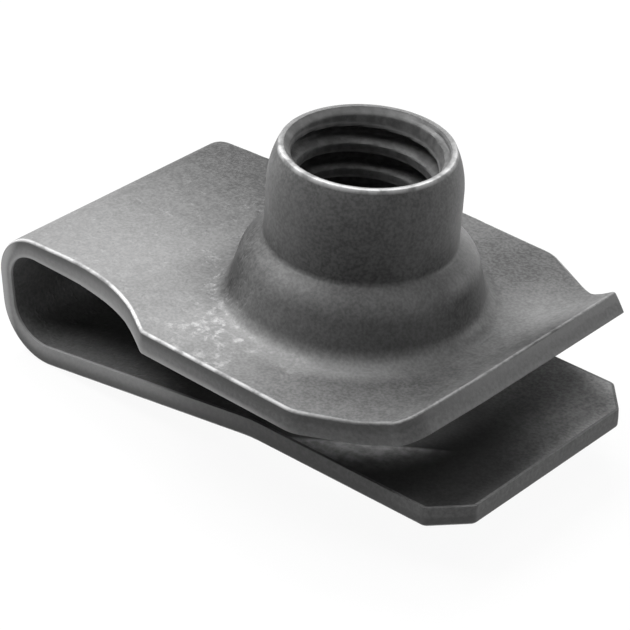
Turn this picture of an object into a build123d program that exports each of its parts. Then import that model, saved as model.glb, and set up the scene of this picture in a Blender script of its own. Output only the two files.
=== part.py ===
from build123d import *
import os
from math import cos, radians, sin, tan

os.makedirs("parts", exist_ok=True)

# The origin is on the thread's axis where the threaded wall begins, the side the screw comes in.
# +X runs along the leaves to the open end, +Z up the barrel. All sizes are in millimetres.

# Sheet and thread
sheet = 1.05
thread_radius = 3.97        # 5/16 inch thread, major radius
thread_length = 5.55
thread_start = 2.7          # the first thread's height over the upper leaf's top

# Barrel drawn up out of the leaf
barrel_wall = 0.83          # outside the thread's major radius
rim_wall = 0.33
taper_length = 2.1          # the wall draws in over this length below the rim
mouth_chamfer = 0.13

# Shoulder between the leaf and the barrel
shoulder_height = 2.55      # over the leaf's top
ring_width = 1.05           # sloping ring between the barrel and the shoulder's edge
ring_rise = 0.81
cone_spread = 0.65          # the shoulder's side is this much wider at its foot
blend_width = 0.5           # the draw dies out into the flat leaf over this width
wall_inset = 0.75           # inside corners lie this far in and down from the outside ones
neck_fillet = 0.5
shoulder_fillet = 0.8
foot_fillet = 0.6
mouth_fillet = 0.8

# Upper leaf
wing_half_width = 10.2
strip_half_width = 7.56
wing_root = -9.1            # where the edges begin to widen
wing_angle = 33
wing_root_fillet = 12.0
wing_root_share = 0.8       # the most of the slanted edge that the root's curve takes
wing_tip_fillet = 0.6
nose_start = 4.6            # where the corners are cut off
nose_angle = 27.5
nose_fillet = 2.0
lip_half_width = 8.1
lip_fillet = 0.9
lip_radius = 4.35           # on the upper face
lip_angle = 40
lip_setback = 5.5           # degrees, one side of the end is cut back from the middle
lip_corner = 3.3            # half width of the straight middle on that side

# Fold
droop_gap = 0.3             # flat leaf between the drawn wall and the droop towards the fold
droop_angle = 3.3
fold_back = -17.39          # outermost point
upper_bend_radius = 1.4     # inside
lower_bend_radius = 1.95
fold_lean = 8
fold_side = 1.53            # straight back of the fold

# Lower leaf
rise_angle = 9.3
settle_at = -0.6            # the slope eases off here
settle_radius = 8.0
settle_angle = 1.3
lower_end = 12.38
lower_corner_length = 1.6
lower_corner_width = 1.8
lower_fillet = 0.5
clearance_radius = 5.2

leaf_top = -thread_start
leaf_under = leaf_top - sheet
middle = leaf_top - sheet / 2
barrel_radius = thread_radius + barrel_wall
rim_radius = thread_radius + rim_wall
shoulder_radius = barrel_radius + ring_width
foot_radius = shoulder_radius + cone_spread
blend_radius = foot_radius + blend_width
lip_start = blend_radius
droop_start = -blend_radius - droop_gap
whole_length = lower_end - fold_back


def round_corners(sketch, radii):
    """Rounds the pair of corners that stands at each X with the radius given for it."""
    for x, radius in radii.items():
        fillet([v for v in sketch.vertices() if abs(v.X - x) < 0.01], radius)


with BuildPart() as clip_nut:
    # Side view of the folded strip, drawn along the middle of the sheet
    with BuildSketch(Plane.XZ, mode=Mode.PRIVATE) as side_view:
        with BuildLine():
            flat = Line((droop_start, middle), (lip_start, middle))
            lip = JernArc(flat @ 1, flat % 1, lip_radius + sheet / 2, lip_angle)
            bend = upper_bend_radius + sheet / 2
            droop_run = droop_start - fold_back - sheet / 2 - bend + bend * sin(radians(droop_angle))
            droop_fall = droop_run * tan(radians(droop_angle))
            droop = Line(flat @ 0, (flat @ 0) - Vector(droop_run, droop_fall))
            upper_bend = JernArc(droop @ 1, droop % 1, bend, 90 - droop_angle + fold_lean)
            back = Line(upper_bend @ 1, (upper_bend @ 1) + (upper_bend % 1) * fold_side)
            lower_bend = JernArc(
                back @ 1, back % 1, lower_bend_radius + sheet / 2, 90 - fold_lean + rise_angle
            )
            rise_run = settle_at - (lower_bend @ 1).X
            rise_climb = rise_run * tan(radians(rise_angle))
            rise = Line(lower_bend @ 1, (lower_bend @ 1) + Vector(rise_run, rise_climb))
            settle = JernArc(rise @ 1, rise % 1, settle_radius, settle_angle - rise_angle)
            rest_run = lower_end - (settle @ 1).X + sheet
            rest_climb = rest_run * tan(radians(settle_angle))
            Line(settle @ 1, (settle @ 1) + Vector(rest_run, rest_climb))
        trace(line_width=sheet)

    # Outlines of the two leaves, seen from above, carried up and down from between them
    gap_middle = ((settle @ 1).Y + middle) / 2
    with BuildSketch(Plane.XY.offset(gap_middle)) as upper_outline:
        wing_tip = wing_root + (wing_half_width - strip_half_width) / tan(radians(wing_angle))
        slanted_edge = (wing_half_width - strip_half_width) / sin(radians(wing_angle))
        widest_root = wing_root_share * slanted_edge / tan(radians(wing_angle / 2))
        nose_end = nose_start + (wing_half_width - lip_half_width) / tan(radians(nose_angle))
        with BuildLine():
            Polyline(
                (fold_back - sheet, 0),
                (fold_back - sheet, strip_half_width),
                (wing_root, strip_half_width),
                (wing_tip, wing_half_width),
                (nose_start, wing_half_width),
                (nose_end, lip_half_width),
                (whole_length, lip_half_width),
                (whole_length, 0),
            )
            mirror(about=Plane.XZ)
        make_face()
        round_corners(upper_outline, {
            wing_root: min(wing_root_fillet, widest_root),
            wing_tip: wing_tip_fillet,
            nose_start: nose_fillet,
            nose_end: lip_fillet,
        })
    extrude(amount=whole_length)
    with BuildSketch(Plane.XY.offset(gap_middle)) as lower_outline:
        corner_start = lower_end - lower_corner_length
        with BuildLine():
            Polyline(
                (fold_back - sheet, 0),
                (fold_back - sheet, strip_half_width),
                (corner_start, strip_half_width),
                (lower_end, strip_half_width - lower_corner_width),
                (lower_end, 0),
            )
            mirror(about=Plane.XZ)
        make_face()
        round_corners(lower_outline, {corner_start: lower_fillet, lower_end: lower_fillet})
        Circle(clearance_radius, mode=Mode.SUBTRACT)
    extrude(amount=-whole_length)

    # What lies inside both the outlines and the side view is the folded strip
    extrude(side_view.sketch, amount=wing_half_width, both=True, mode=Mode.INTERSECT)

    # The lip's end is cut back a little on the -Y side, square to the sheet
    lip_end = Plane(
        origin=((lip @ 1).X, -lip_corner, (lip @ 1).Y),
        x_dir=(cos(radians(lip_angle)), 0, sin(radians(lip_angle))),
        z_dir=(-sin(radians(lip_angle)), 0, cos(radians(lip_angle))),
    )
    with Locations(lip_end.rotated((0, 0, -lip_setback))):
        Box(
            sheet,
            lip_half_width,
            2 * sheet,
            align=(Align.MIN, Align.MAX, Align.CENTER),
            mode=Mode.SUBTRACT,
        )

    # Opening in the leaf that the drawn shoulder fills
    with Locations((0, 0, leaf_under)):
        Cylinder(
            blend_radius,
            2 * sheet,
            align=(Align.CENTER, Align.CENTER, Align.MIN),
            mode=Mode.SUBTRACT,
        )

    # Shoulder and barrel, one wall drawn from the leaf, thinner towards the rim
    shoulder = (shoulder_radius, leaf_top + shoulder_height)
    neck = (barrel_radius, shoulder[1] + ring_rise)
    foot = (foot_radius, leaf_top)
    inner_shoulder = (shoulder_radius - wall_inset, shoulder[1] - wall_inset)
    inner_foot = (foot_radius - wall_inset, leaf_under)
    taper_start = (barrel_radius, thread_length - taper_length)
    rim = (rim_radius, thread_length)
    draw_in = barrel_wall - rim_wall
    taper_radius = (taper_length**2 + draw_in**2) / (2 * draw_in)
    with BuildSketch(Plane.XZ) as wall:
        with BuildLine():
            Polyline(
                rim,
                (thread_radius + mouth_chamfer, thread_length),
                (thread_radius, thread_length - mouth_chamfer),
                (thread_radius, 0),
                inner_shoulder,
                inner_foot,
                (blend_radius, leaf_under),
                (blend_radius, leaf_top),
                foot,
                shoulder,
                neck,
                taper_start,
            )
            RadiusArc(taper_start, rim, -taper_radius)
        make_face()
        for corner, radius in {
            neck: neck_fillet,
            shoulder: shoulder_fillet,
            foot: foot_fillet,
            inner_foot: mouth_fillet,
            inner_shoulder: shoulder_fillet,
        }.items():
            fillet(wall.vertices().sort_by_distance(corner)[0], radius)
    revolve(axis=Axis.Z)

clip_nut.part.label = "clip_nut"
export_step(clip_nut.part, "parts/clip_nut.step")
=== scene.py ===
"""The clip nut as it looks: one folded strip with rolled edges, a drawn barrel and a cut thread.

Sizes are in millimetres and angles in degrees unless a name says otherwise. Meshes are made in metres.
"""

import logging
from bisect import bisect_left
from collections.abc import Callable, Iterable, Sequence
from dataclasses import dataclass, field
from enum import Enum
from functools import partial, reduce
from math import acos, ceil, cos, degrees, pi, radians, sin, sqrt, tan, tau

import bmesh
import bpy
from mathutils import Matrix, Vector
from mathutils.geometry import delaunay_2d_cdt


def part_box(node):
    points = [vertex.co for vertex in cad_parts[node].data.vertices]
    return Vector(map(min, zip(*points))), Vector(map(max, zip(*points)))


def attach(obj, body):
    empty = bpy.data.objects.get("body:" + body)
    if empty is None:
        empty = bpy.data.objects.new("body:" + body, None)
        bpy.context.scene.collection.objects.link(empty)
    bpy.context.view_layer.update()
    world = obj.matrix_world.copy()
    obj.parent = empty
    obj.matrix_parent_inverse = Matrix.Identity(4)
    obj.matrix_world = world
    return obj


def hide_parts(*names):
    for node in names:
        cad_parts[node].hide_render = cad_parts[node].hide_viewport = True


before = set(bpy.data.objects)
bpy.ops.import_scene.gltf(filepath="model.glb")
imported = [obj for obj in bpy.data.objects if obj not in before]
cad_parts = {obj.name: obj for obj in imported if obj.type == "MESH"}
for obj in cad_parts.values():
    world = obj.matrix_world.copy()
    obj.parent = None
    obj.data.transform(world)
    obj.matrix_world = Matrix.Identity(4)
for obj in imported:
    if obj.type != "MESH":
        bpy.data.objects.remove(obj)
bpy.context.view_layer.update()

log = logging.getLogger("clip_nut")

MM = 0.001
NODE = "clip_nut"
BODY = "root"

# How often a search halves its range, the turn in radians under which a stretch is straight, the distance
# under which laid-out points are one, and how far inside a face it is tested for lying on the sheet.
HALVINGS = 40
STRAIGHT = 1e-9
SAME_SPOT = 1e-6
CLOSE_INSIDE = 0.002

# What the triangulation gives back: the triangles of all that its lines enclose.
ENCLOSED = 4

# Values that the mesh's points carry for the finishes: how deep a point lies in the sheet, from 0 on the
# outer face to 1 on the inner face, and how far it is bare from rubbing and lit as a painted highlight.
DEPTH_MARK = "sheet_depth"
WEAR_AND_HIGHLIGHT_MARK = "edge_wear_and_highlight"

Point = tuple[float, float]
Place = tuple[float, float, float]
Colour = tuple[float, float, float, float]
Crease = tuple[tuple[int, int], tuple[int, int]]
Socket = bpy.types.NodeSocket
Level = float | Socket


class Leaf(Enum):
    """The two leaves of the fold."""

    UPPER = "upper"
    LOWER = "lower"


class Part(Enum):
    """The stretches of the middle line in their order, from the lip's end to the lower end."""

    LIP = 0
    FLAT = 1
    DROOP_BEND = 2
    DROOP = 3
    UPPER_BEND = 4
    BACK = 5
    LOWER_BEND = 6
    CLIMB = 7
    SETTLE = 8
    REST = 9


class Zone(Enum):
    """The parts of the surface that have a finish of their own, by material slot."""

    FACE = 0
    CUT = 1
    THREAD = 2


class Side(Enum):
    """The side of a closed line that the sheet is on."""

    INSIDE = 1
    OUTSIDE = -1


@dataclass(frozen=True)
class Corner:
    """A corner of a line, and the radius that it is rounded with."""

    x: float
    y: float
    radius: float = 0.0


@dataclass(frozen=True)
class Stretch:
    """A straight or evenly curved stretch of the sheet's middle line.

    turn is in degrees, to the left as positive, and radius is the middle line's own.
    """

    length: float
    turn: float = 0.0

    @staticmethod
    def bend(radius: float, turn: float) -> "Stretch":
        """Gives the curved stretch with this radius and turn."""
        return Stretch(radius * radians(abs(turn)), turn)


def eased(share: float) -> float:
    """Holds a share between 0 and 1 and lets it start and end softly."""
    held = min(1.0, max(0.0, share))
    return held * held * (3 - 2 * held)


def rounded(corners: Sequence[Corner], step: float = 7.5) -> list[Point]:
    """Turns an open line of corners into points, with an arc at each corner that has a radius.

    Args:
        corners: The line's corners. The first and the last are its ends.
        step: The most that a piece of an arc turns, in degrees.

    Returns:
        The points of the line from end to end.
    """
    points = [(corners[0].x, corners[0].y)]
    for before, corner, after in zip(corners, corners[1:], corners[2:]):
        at = Vector((corner.x, corner.y))
        if corner.radius <= 0:
            points.append((corner.x, corner.y))
            continue
        entry = (at - Vector((before.x, before.y))).normalized()
        leave = (Vector((after.x, after.y)) - at).normalized()
        turn = entry.angle_signed(leave)
        reach = corner.radius * tan(abs(turn) / 2)
        start = at - entry * reach
        side = Vector((entry.y, -entry.x)) * (1 if turn > 0 else -1)
        centre = start + side * corner.radius
        pieces = max(2, ceil(degrees(abs(turn)) / step))
        for i in range(pieces + 1):
            arm = (start - centre).copy()
            arm.rotate(Matrix.Rotation(-turn * i / pieces, 2))
            points.append(tuple(centre + arm))
    points.append((corners[-1].x, corners[-1].y))
    return points


@dataclass
class MiddleLine:
    """The middle of the sheet seen from the side, from the lip's end round the fold to the lower end.

    The sheet's outer face is on the line's right: the top of the upper leaf, the back of the fold and the
    underside of the lower leaf.
    """

    heading: float
    stretches: list[Stretch]
    anchor_part: Part
    anchor: Point
    offset: Vector = field(init=False, default_factory=lambda: Vector((0, 0)))

    def __post_init__(self) -> None:
        """Moves the line so that the anchored stretch ends at its anchor."""
        x, z, _ = self.at(self.end_of(self.anchor_part))
        self.offset = Vector(self.anchor) - Vector((x, z))

    @property
    def length(self) -> float:
        """Gives the developed length."""
        return sum(s.length for s in self.stretches)

    def end_of(self, part: Part) -> float:
        """Gives the run at which a stretch ends."""
        return sum(s.length for s in self.stretches[: part.value + 1])

    def at(self, run: float) -> tuple[float, float, float]:
        """Finds the place and the heading after a run along the line.

        Args:
            run: The length along the line from the lip's end.

        Returns:
            X, Z and the heading in radians.
        """
        spot = self.offset.copy()
        heading = radians(self.heading)
        last = self.stretches[-1]
        for stretch in self.stretches:
            part = run if stretch is last else min(run, stretch.length)
            turn = radians(stretch.turn) * part / stretch.length
            chord = part if abs(turn) < STRAIGHT else 2 * sin(turn / 2) * part / turn
            middle = heading + turn / 2
            spot = spot + Vector((cos(middle), sin(middle))) * chord
            heading += turn
            run -= part
            if run <= 0 and stretch is not last:
                break
        return spot.x, spot.y, heading

    def place(self, run: float, across: float, height: float) -> Vector:
        """Gives the point of the folded sheet, in metres, at this height on the line's right."""
        x, z, heading = self.at(run)
        return Vector((x + sin(heading) * height, across, z - cos(heading) * height)) * MM

    def run_at(self, x: float, leaf: Leaf) -> float:
        """Finds the run at which a leaf stands over this X, by halving.

        Args:
            x: The place along the leaves.
            leaf: The leaf that is meant.

        Returns:
            The run along the middle line.
        """
        turn_back = self.end_of(Part.UPPER_BEND)
        low, high = (0.0, turn_back) if leaf is Leaf.UPPER else (turn_back, self.length)
        for _ in range(HALVINGS):
            middle = (low + high) / 2
            before = (self.at(middle)[0] > x) == (leaf is Leaf.UPPER)
            low, high = (middle, high) if before else (low, middle)
        return (low + high) / 2

    def stations(self, step: float) -> list[float]:
        """Lists the runs at which the sheet is creased: the ends of each bend and its inner steps.

        Args:
            step: The most that one step of a bend turns, in degrees.

        Returns:
            The runs in order.
        """
        runs: list[float] = []
        run = 0.0
        for stretch in self.stretches:
            if stretch.turn:
                pieces = max(1, ceil(abs(stretch.turn) / step))
                runs += [run + stretch.length * i / pieces for i in range(pieces + 1)]
            run += stretch.length
        return sorted(set(round(r, 6) for r in runs if 0 < r < self.length))


@dataclass(frozen=True)
class Ring:
    """One line of a cut edge's profile.

    inset is its distance into the sheet, height its height over the sheet's middle, and drag the share of
    the burr's height by which it stands out of the inner face.
    """

    inset: float
    height: float
    drag: float = 0.0


@dataclass
class Edge:
    """The rolled, sheared and broken profile of a punched edge, from the outer face to the inner face."""

    sheet: float = 1.05
    roll_width: float = 0.17
    roll_depth: float = 0.15
    roll_steps: int = 5
    shear_depth: float = 0.5
    break_lean: float = 0.03
    burr_radius: float = 0.05
    burr_foot: float = 0.1
    burr_height: float = 0.24

    def rings(self) -> list[Ring]:
        """Draws the profile.

        Returns:
            Its lines from the outer face to the inner face.
        """
        half = self.sheet / 2
        rings = []
        for i in range(self.roll_steps + 1):
            turn = pi / 2 * i / self.roll_steps
            rings.append(Ring(self.roll_width * (1 - sin(turn)), half - self.roll_depth * (1 - cos(turn))))
        rings.append(Ring(0.0, half - self.shear_depth))
        rings.append(Ring(self.break_lean, -half + self.burr_radius, 1.0))
        middle = self.burr_radius * (1 - sqrt(0.5))
        rings.append(Ring(self.break_lean + middle, -half + middle, 1.0))
        rings.append(Ring(self.break_lean + self.burr_radius, -half, 1.0))
        rings.append(Ring(self.break_lean + self.burr_radius + self.burr_foot, -half))
        return rings


@dataclass
class SheetMesh:
    """The mesh under construction, with the values that the finishes read from its points."""

    steel: bmesh.types.BMesh = field(default_factory=bmesh.new)

    def __post_init__(self) -> None:
        """Adds the layers for the depth in the sheet and for the rubbing and painted highlight."""
        self.depth = self.steel.verts.layers.float.new(DEPTH_MARK)
        self.wear_and_highlight = self.steel.verts.layers.float.new(WEAR_AND_HIGHLIGHT_MARK)

    def point(self, at: Vector, depth: float = 0.0, wear_and_highlight: float = 0.0) -> bmesh.types.BMVert:
        """Adds a point.

        Args:
            at: Where it is, in metres.
            depth: How deep it lies in the sheet, from 0 to 1.
            wear_and_highlight: How far it is bare from rubbing and lit as a painted highlight, from 0 to 1.

        Returns:
            The point.
        """
        vert = self.steel.verts.new(at)
        vert[self.depth] = depth
        vert[self.wear_and_highlight] = wear_and_highlight
        return vert

    def face(self, corners: Sequence[bmesh.types.BMVert], zone: Zone) -> None:
        """Adds a face in a zone."""
        self.steel.faces.new(corners).material_index = zone.value

    def band(self, rings: Sequence[Sequence[bmesh.types.BMVert]], zones: Callable[[int], Zone]) -> None:
        """Joins closed rings of points into a band.

        Args:
            rings: Rings with the same number of points.
            zones: Gives the zone of the faces after each ring.
        """
        for index, (one, other) in enumerate(zip(rings, rings[1:])):
            for i, vert in enumerate(one):
                nxt = (i + 1) % len(one)
                self.face((vert, one[nxt], other[nxt], other[i]), zones(index))


@dataclass
class Thread:
    """The tapped thread inside the barrel, a right-handed 5/16 inch coarse one."""

    major_radius: float = 3.97
    minor_radius: float = 3.36
    pitch: float = 1.411
    start: float = 0.0
    end: float = 5.55
    mouth_radius: float = 4.06
    cone_depth: float = 0.3
    shallow_slope: float = 0.3
    first_turn: float = 0.313
    crest_share: float = 0.27
    root_share: float = 0.14
    # Rubbing and a painted highlight along the lower edge of the crest, and painted light on one side of the
    # mouth's cone.
    rub_and_highlight_share: float = 0.06
    rubbed_and_lit_side: float = 70.0
    cone_rub_and_light: float = 0.36
    cone_rub_and_light_swing: float = 0.3
    row: float = 0.07

    def phase(self, angle: float, height: float) -> float:
        """Gives a place's share of a turn of the thread, with the crest's middle at a half."""
        return (height / self.pitch - angle / tau + self.first_turn) % 1.0

    def ridge(self, angle: float, height: float) -> float:
        """Finds how far the wall stands in at a place.

        Args:
            angle: The place round the axis, in radians.
            height: The height over the thread's start.

        Returns:
            The share, from 0 at the root to 1 on the crest.
        """
        root_edge = 0.5 - self.root_share / 2
        away = abs(self.phase(angle, height) - 0.5)
        return eased((root_edge - away) / (root_edge - self.crest_share / 2))

    def rub_and_highlight(self, angle: float, height: float) -> float:
        """Finds the share of rubbing and painted highlight at a place: a highlight along the lower edge of
        the crest, and painted light in the mouth's cone, most on one side.

        Args:
            angle: The place round the axis, in radians.
            height: The height over the thread's start.

        Returns:
            The share, from 0 to 1.
        """
        if self.end - height < self.cone_depth:
            return self.cone_rub_and_light + self.cone_rub_and_light_swing * cos(angle - radians(self.rubbed_and_lit_side))
        from_edge = abs(self.phase(angle, height) - 0.5 + self.crest_share / 2)
        return max(0.0, 1 - from_edge / self.rub_and_highlight_share)

    def radius(self, angle: float, height: float) -> float:
        """Gives the wall's radius at a place, with the lead-in cones at both ends.

        Args:
            angle: The place round the axis, in radians.
            height: The height over the thread's start.

        Returns:
            The radius.
        """
        cut = self.major_radius - (self.major_radius - self.minor_radius) * self.ridge(angle, height)
        lead_in = self.major_radius - (height - self.start)
        depth = self.end - height
        cone = self.mouth_radius - depth
        shallow = self.mouth_radius - self.cone_depth - (depth - self.cone_depth) * self.shallow_slope
        return max(cut, lead_in, cone if depth < self.cone_depth else shallow)

    def heights(self) -> list[float]:
        """Lists the heights of the wall's rows from the mouth down."""
        rows = ceil((self.end - self.start) / self.row)
        return [self.end + (self.start - self.end) * i / rows for i in range(rows + 1)]


@dataclass
class Barrel:
    """The shoulder and the barrel, one wall drawn up out of the upper leaf."""

    thread: Thread = field(default_factory=Thread)
    leaf_top: float = -2.7
    sheet: float = 1.05
    barrel_radius: float = 4.8
    rim_radius: float = 4.3
    taper_length: float = 2.1
    taper_steps: int = 10
    rim_round: float = 0.06
    mouth_round: float = 0.03
    shoulder_height: float = 2.55
    ring_width: float = 1.05
    ring_rise: float = 0.81
    cone_spread: float = 0.65
    blend_radius: float = 7.3
    wall_inset: float = 0.75
    neck_fillet: float = 0.3
    shoulder_fillet: float = 1.9
    inner_fillet: float = 0.8
    foot_fillet: float = 0.98
    mouth_fillet: float = 0.8
    # Rubbing and a painted highlight on the rim, strongest on its outer corner and on the side towards the
    # camera.
    corner_wear_and_highlight: float = 0.75
    rim_top_wear_and_highlight: float = 0.15
    rubbed_and_lit_side: float = -50.0
    least_rubbed_and_lit: float = 0.15
    segments: int = 160

    def outside(self) -> list[Point]:
        """Draws the wall's outside, from the leaf up and over the rim to the mouth.

        Returns:
            Its points as (radius, height).
        """
        shoulder = (self.barrel_radius + self.ring_width, self.leaf_top + self.shoulder_height)
        neck = (self.barrel_radius, shoulder[1] + self.ring_rise)
        top = self.thread.end
        draw_in = self.barrel_radius - self.rim_radius
        taper = (self.taper_length**2 + draw_in**2) / (2 * draw_in)
        centre = self.barrel_radius - taper
        climbs = [self.taper_length * i / self.taper_steps for i in range(self.taper_steps + 1)]
        wall = [(centre + sqrt(taper**2 - c**2), top - self.taper_length + c) for c in climbs]
        mouth = self.thread.mouth_radius
        lead = 3 * self.mouth_round
        corners = [
            Corner(self.blend_radius, self.leaf_top),
            Corner(shoulder[0] + self.cone_spread, self.leaf_top, self.foot_fillet),
            Corner(*shoulder, self.shoulder_fillet),
            Corner(*neck, self.neck_fillet),
            *(Corner(*spot) for spot in wall[:-1]),
            Corner(*wall[-1], self.rim_round),
            Corner(mouth, top, self.mouth_round),
            Corner(mouth - lead, top - lead),
        ]
        return rounded(corners)[:-1]

    def rim_wear_and_highlight(self, angle: float, radius: float) -> float:
        """Finds the rubbing and the painted highlight on the rim, most on the side towards the camera and on
        its outer corner.

        Args:
            angle: The place round the axis, in radians.
            radius: Its distance from the axis.

        Returns:
            The share, from 0 to 1.
        """
        on_corner = radius > self.rim_radius - 2 * self.rim_round
        towards = min(1.0, max(0.0, 2 * cos(angle - radians(self.rubbed_and_lit_side)) + 0.5))
        rubbed_and_lit = self.least_rubbed_and_lit + (1 - self.least_rubbed_and_lit) * towards
        return rubbed_and_lit * (self.corner_wear_and_highlight if on_corner else self.rim_top_wear_and_highlight)

    def inside(self) -> list[Point]:
        """Draws the hollow under the thread, from the thread down to the leaf.

        Returns:
            Its points as (radius, height).
        """
        shoulder_radius = self.barrel_radius + self.ring_width
        under = self.leaf_top - self.sheet
        deep = self.leaf_top + self.shoulder_height - self.wall_inset
        corners = [
            Corner(self.thread.major_radius, self.thread.start),
            Corner(shoulder_radius - self.wall_inset, deep, self.inner_fillet),
            Corner(shoulder_radius + self.cone_spread - self.wall_inset, under, self.mouth_fillet),
            Corner(self.blend_radius, under),
        ]
        return rounded(corners)

    def build(
        self,
        mesh: SheetMesh,
        angles: Sequence[float],
        top_ring: list[bmesh.types.BMVert],
        low_ring: list[bmesh.types.BMVert],
    ) -> None:
        """Adds the wall between the rings that the leaf leaves open.

        Args:
            mesh: The mesh to add to.
            angles: Where the rings' points are round the axis, in radians.
            top_ring: The leaf's ring on its upper face.
            low_ring: The leaf's ring on its underside.
        """
        def ring(
            radius: Callable[[float], float],
            height: float,
            wear_and_highlight: Callable[[float], float] = lambda a: 0.0,
            depth: float = 0.0,
        ) -> list[bmesh.types.BMVert]:
            """Adds a ring of points at one height.

            Args:
                radius: Gives the radius at an angle.
                height: The height over the thread's start.
                wear_and_highlight: Gives the share of rubbing and painted highlight at an angle.
                depth: How deep the ring lies in the sheet.

            Returns:
                The ring's points.
            """
            return [
                mesh.point(Vector((radius(a) * cos(a), radius(a) * sin(a), height)) * MM, depth, wear_and_highlight(a))
                for a in angles
            ]

        outside = self.outside()
        rim = self.thread.end - 2 * self.rim_round
        rings = [top_ring]
        rings += [
            ring(lambda a, r=r: r, z, lambda a, r=r, z=z: self.rim_wear_and_highlight(a, r) if z > rim else 0.0)
            for r, z in outside[1:]
        ]
        bore_from = len(rings)
        heights = [z for z in self.thread.heights() if z < outside[-1][1] - self.thread.row / 2]
        rings += [
            ring(lambda a, z=z: self.thread.radius(a, z), z, lambda a, z=z: self.thread.rub_and_highlight(a, z))
            for z in heights
        ]
        bore_to = len(rings)
        rings += [ring(lambda a, r=r: r, z, depth=1.0) for r, z in self.inside()[1:-1]]
        rings.append(low_ring)
        mesh.band(rings, lambda index: Zone.THREAD if bore_from <= index + 1 < bore_to else Zone.FACE)


@dataclass
class Hole:
    """A round hole laid out flat: its points, their angles and where each crease meets it."""

    points: list[Point]
    angles: list[float]
    meets: dict[float, tuple[int, int]]


@dataclass
class Loop:
    """A closed line on one face of the sheet: its points laid out flat, and the mesh's own."""

    flat: list[Point]
    verts: list[bmesh.types.BMVert]


def sides(points: Sequence[Point]) -> list[tuple[Point, Point]]:
    """Pairs each point of a closed line with the next one."""
    return list(zip(points, [*points[1:], points[0]]))


def area(points: Sequence[Point]) -> float:
    """Gives the signed area of a closed line, positive where it runs counterclockwise."""
    return sum(x0 * y1 - x1 * y0 for (x0, y0), (x1, y1) in sides(points)) / 2


def inward_normals(points: Sequence[Point], side: Side) -> list[Vector]:
    """Gives each point's mitred direction into the sheet.

    Args:
        points: A closed line as (run, across).
        side: The side of it that the sheet is on.

    Returns:
        A vector for each point, whose length keeps an offset line parallel.
    """
    hand = side.value * (1 if area(points) > 0 else -1)
    normals = []
    for before, at, after in zip([points[-1], *points[:-1]], points, [*points[1:], points[0]]):
        come = (Vector(at) - Vector(before)).normalized()
        go = (Vector(after) - Vector(at)).normalized()
        one = Vector((-come.y, come.x)) * hand
        other = Vector((-go.y, go.x)) * hand
        normals.append((one + other) / (1 + one.dot(other)))
    return normals


def just_inside(face: Sequence[Vector]) -> Vector:
    """Finds a point close inside a flat face, by its longest side.

    Args:
        face: The face's corners, laid out flat.

    Returns:
        The point.
    """
    start, end = max(sides(face), key=lambda pair: (pair[1] - pair[0]).length)
    size = area(face)
    inset = min(CLOSE_INSIDE, abs(size) / (end - start).length / 5)
    along = (end - start).normalized() * (1 if size > 0 else -1)
    return (start + end) / 2 + Vector((-along.y, along.x)) * inset


def on_sheet(spot: Vector, loops: Sequence[Loop]) -> bool:
    """Tells whether a point lies inside the outline and outside its holes.

    Args:
        spot: The point, laid out flat.
        loops: The outline and the holes.

    Returns:
        Whether it does, by counting the lines between it and the outside.
    """
    crossings = 0
    for loop in loops:
        for (x0, y0), (x1, y1) in sides(loop.flat):
            if (y0 > spot.y) != (y1 > spot.y) and spot.x < x0 + (spot.y - y0) * (x1 - x0) / (y1 - y0):
                crossings += 1
    return crossings % 2 == 1


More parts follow.
